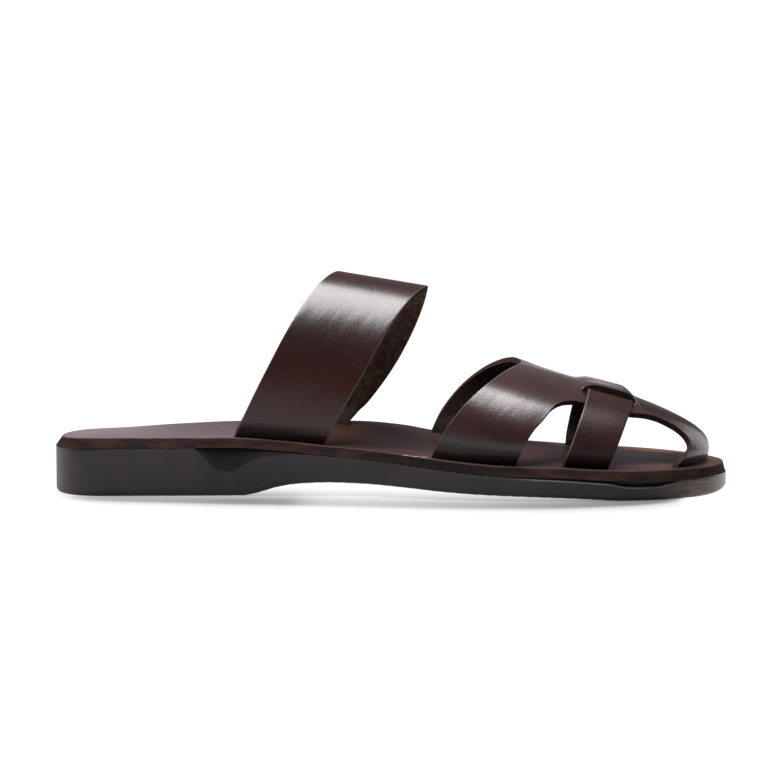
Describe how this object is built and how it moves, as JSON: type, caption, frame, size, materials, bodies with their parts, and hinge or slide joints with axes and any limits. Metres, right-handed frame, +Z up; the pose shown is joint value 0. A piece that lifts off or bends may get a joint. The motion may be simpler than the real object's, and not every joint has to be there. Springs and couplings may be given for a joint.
{
  "type": "closed-toe sandal",
  "caption": "Closed-toe leather slide sandal, right shoe: low rubber sole, leather footbed, wide instep strap, and a cut vamp with a cross strap woven through it and open sides.",
  "frame": {"origin": "on the ground, midway between heel back and toe tip, midway across the sole's widest part", "axes": "+X from heel to toe, +Y to the inner (medial) side of the foot, +Z up"},
  "size_m": [0.286, 0.0988, 0.0921],
  "materials": {
    "upper_leather": "dark brown, satin, fine grain",
    "footbed_leather": "brown, satin on top, rough dark brown cut edge",
    "sole_rubber": "charcoal, matt moulded wall, slightly worn and shiny at the toe"
  },
  "bodies": {
    "root": {"outsole": "sole_rubber", "footbed": "footbed_leather", "instep_strap": "upper_leather", "forefoot_upper": "upper_leather"}
  },
  "joints": []
}
